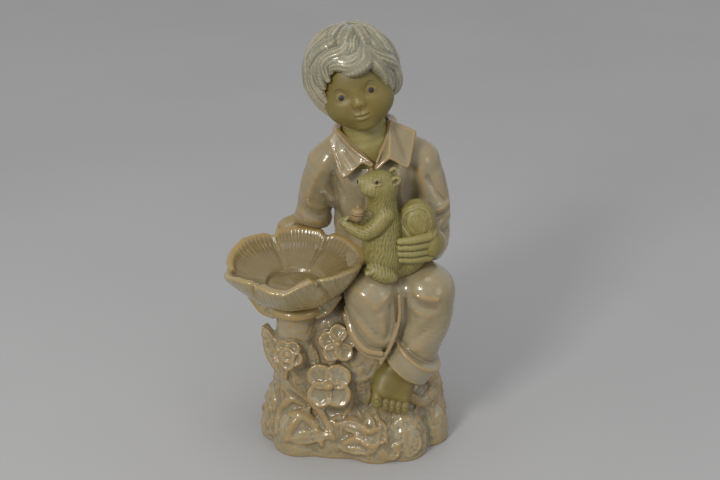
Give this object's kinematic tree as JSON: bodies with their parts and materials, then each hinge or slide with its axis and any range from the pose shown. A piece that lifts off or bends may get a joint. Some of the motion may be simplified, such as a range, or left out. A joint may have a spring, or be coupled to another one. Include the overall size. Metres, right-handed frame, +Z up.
{
  "type": "boy with squirrel statue",
  "caption": "Glazed ceramic figurine of a seated barefoot boy holding a squirrel, on a flowered mound, with an open flower-shaped bowl at his side.",
  "frame": {"origin": "middle of the mound's flat underside, on the surface the figurine stands on", "axes": "+Z up; the figure faces -Y; +X is the viewer's right, the side of the tail"},
  "size_m": [0.1286, 0.1077, 0.2498],
  "materials": {
    "glaze": "cream glaze with ochre where it runs thin, olive on skin and fur"
  },
  "bodies": {
    "root": {"boy_with_squirrel": "glaze"}
  },
  "joints": []
}
